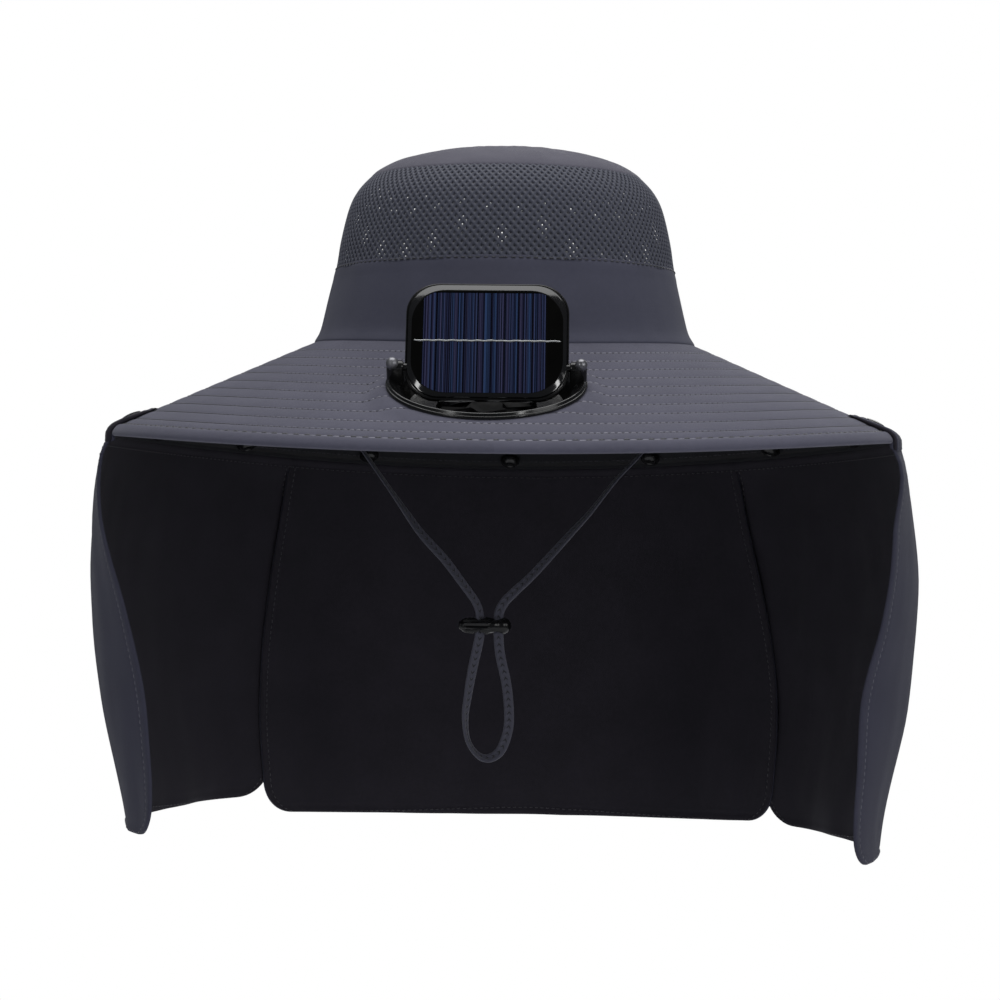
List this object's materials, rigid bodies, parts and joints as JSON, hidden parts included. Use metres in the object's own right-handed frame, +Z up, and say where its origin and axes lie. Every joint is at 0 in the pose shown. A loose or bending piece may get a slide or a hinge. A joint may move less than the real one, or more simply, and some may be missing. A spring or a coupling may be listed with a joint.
{
  "type": "solar fan hat",
  "caption": "Wide-brimmed sun hat with a net crown, hung neck flap, chin tape, and a solar-powered fan set in the front brim.",
  "frame": {"origin": "centre of the head opening, at the seam plane of crown and brim", "axes": "+Z up, +X to the right as seen from the front, the front looks along -Y"},
  "size_m": [0.4131, 0.4019, 0.3545],
  "materials": {
    "hat_cloth": "matt woven polyester",
    "net_cloth": "open polyester net",
    "lining_cloth": "matt black woven polyester",
    "tape": "braided flat tape",
    "black_plastic": "glossy moulded ABS",
    "snap_plastic": "satin moulded resin",
    "solar_cell": "glossy resin over blue silicon cells"
  },
  "bodies": {
    "hat": {"crown_top": "hat_cloth", "crown_net": "net_cloth", "crown_band": "hat_cloth", "brim": "hat_cloth", "brim_lining": "lining_cloth", "flap_band": "hat_cloth", "flap_left": "hat_cloth", "flap_back": "hat_cloth", "flap_right": "hat_cloth", "snap_1": "snap_plastic", "snap_2": "snap_plastic", "snap_3": "snap_plastic", "snap_4": "snap_plastic", "snap_5": "snap_plastic", "snap_6": "snap_plastic", "snap_7": "snap_plastic", "snap_8": "snap_plastic", "snap_9": "snap_plastic", "fan_base": "black_plastic", "fan_collar": "black_plastic", "fan_guard": "black_plastic", "chin_cord": "tape", "cord_toggle": "black_plastic", "toggle_button": "black_plastic"},
    "panel": {"solar_panel": "black_plastic", "solar_cells": "solar_cell"},
    "rotor": {"fan_rotor": "black_plastic"}
  },
  "joints": [
    {"name": "panel_tilt", "type": "hinge", "parent": "hat", "child": "panel", "pos_m": [-0.005, -0.13883, -0.01849], "axis": [1, 0, 0], "range_deg": [-38, 20]},
    {"name": "fan_spin", "type": "hinge", "parent": "hat", "child": "rotor", "pos_m": [-0.005, -0.138, -0.02623], "axis": [0, -0.4444, 0.8958], "continuous": true}
  ]
}
